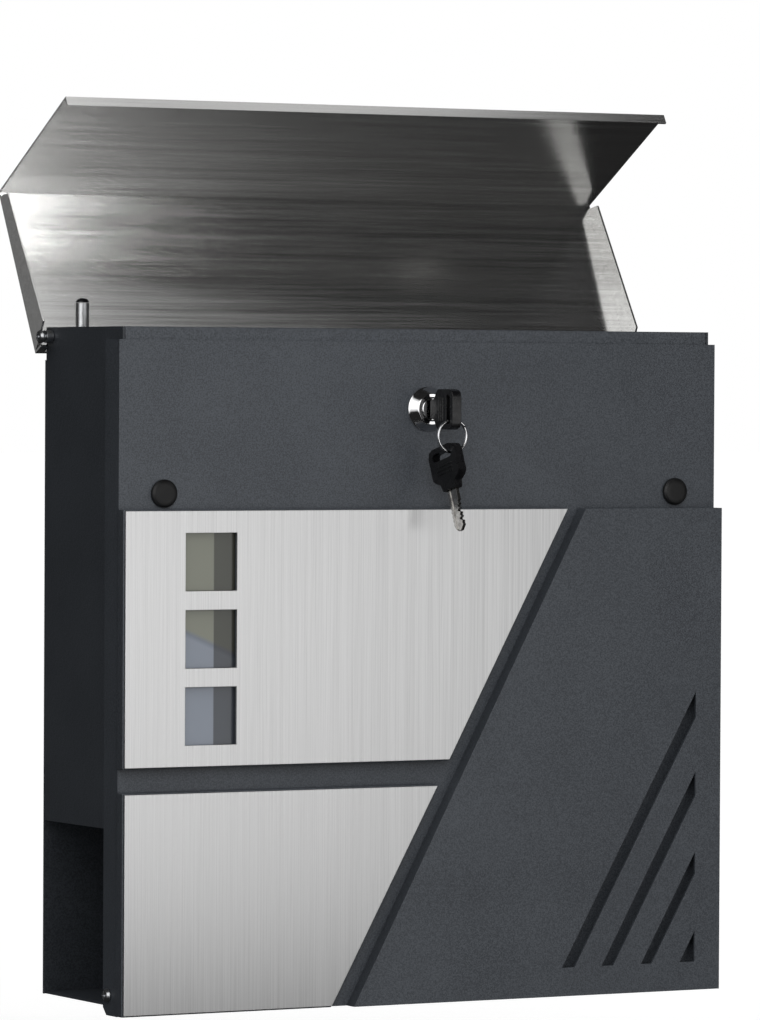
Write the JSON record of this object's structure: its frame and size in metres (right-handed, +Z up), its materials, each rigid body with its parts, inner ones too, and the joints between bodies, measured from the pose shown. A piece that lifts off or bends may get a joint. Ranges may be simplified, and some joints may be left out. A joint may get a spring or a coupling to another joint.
{
  "type": "wall mounted mailbox",
  "caption": "Wall mailbox: steel box with a hinged stainless lid, a locking drop-front door with windows and an open newspaper shelf below.",
  "frame": {"origin": "on the back panel's outer face, half way across and 170 mm above the underside of the bottom panel", "axes": "+Z up, +Y out of the back towards the wall, so the front faces -Y; +X to the right seen from the front"},
  "size_m": [0.377, 0.1781, 0.4821],
  "materials": {
    "anthracite_steel": "fine textured powder coat",
    "brushed_stainless": "brushed",
    "chrome": "polished",
    "zinc_steel": "zinc plated",
    "black_plastic": "satin",
    "clear_acrylic": "clear, glossy"
  },
  "bodies": {
    "housing": {"back_panel": "anthracite_steel", "left_side_panel": "anthracite_steel", "right_side_panel": "anthracite_steel", "top_front_rail": "anthracite_steel", "compartment_floor": "anthracite_steel", "bottom_panel": "anthracite_steel", "left_lid_screw": "zinc_steel", "right_lid_screw": "zinc_steel", "left_lid_spacer": "zinc_steel", "right_lid_spacer": "zinc_steel", "left_lid_nut": "zinc_steel", "right_lid_nut": "zinc_steel", "left_door_screw": "zinc_steel", "right_door_screw": "zinc_steel", "left_door_nut": "zinc_steel", "right_door_nut": "zinc_steel", "damper_tube": "zinc_steel"},
    "lid": {"lid": "brushed_stainless"},
    "door": {"door_pan": "anthracite_steel", "upper_tray": "anthracite_steel", "upper_steel_plate": "brushed_stainless", "lower_tray": "anthracite_steel", "lower_steel_plate": "brushed_stainless", "raised_panel": "anthracite_steel", "window_pane": "clear_acrylic", "upper_left_rivet": "zinc_steel", "upper_right_rivet": "zinc_steel", "lower_left_rivet": "zinc_steel", "lower_right_rivet": "zinc_steel", "panel_left_rivet": "zinc_steel", "panel_right_rivet": "zinc_steel", "left_bumper": "black_plastic", "right_bumper": "black_plastic", "lock_housing": "chrome", "lock_nut": "zinc_steel"},
    "plug": {"lock_plug": "chrome", "lock_cam": "zinc_steel", "cam_screw": "zinc_steel"},
    "key": {"key_1_bow": "black_plastic", "key_1_blade": "chrome"},
    "ring": {"key_ring": "chrome"},
    "spare_key": {"key_2_bow": "black_plastic", "key_2_blade": "chrome"},
    "plunger": {"damper_plunger": "chrome", "damper_cap": "black_plastic"}
  },
  "joints": [
    {"name": "lid_hinge", "type": "hinge", "parent": "housing", "child": "lid", "pos_m": [0, -0.008, 0.1815], "axis": [1, 0, 0], "range_deg": [0, 120.5]},
    {"name": "door_hinge", "type": "hinge", "parent": "housing", "child": "door", "pos_m": [0, -0.084, -0.1635], "axis": [1, 0, 0], "range_deg": [0, 90]},
    {"name": "lock_turn", "type": "hinge", "parent": "door", "child": "plug", "pos_m": [0.0014, -0.094, 0.1438], "axis": [0, -1, 0], "range_deg": [0, 90]},
    {"name": "key_withdraw", "type": "slide", "parent": "plug", "child": "key", "axis": [0, -1, 0], "range_m": [0, 0.0752]},
    {"name": "ring_swing", "type": "hinge", "parent": "key", "child": "ring", "pos_m": [0.0014, -0.1213, 0.1382], "axis": [1, 0, 0], "range_deg": [-30, 5]},
    {"name": "spare_key_swing", "type": "hinge", "parent": "ring", "child": "spare_key", "pos_m": [0.0014, -0.1213, 0.121], "axis": [1, 0, 0], "range_deg": [-20, 5]},
    {"name": "damper_slide", "type": "slide", "parent": "housing", "child": "plunger", "axis": [0, 0, -1], "range_m": [0, 0.0117]}
  ],
  "couplings": [
    {"joint": "key_withdraw", "follows": "lid_hinge", "m_per_rad": 0.035661},
    {"joint": "damper_slide", "follows": "lid_hinge", "m_per_rad": 0.005468}
  ]
}
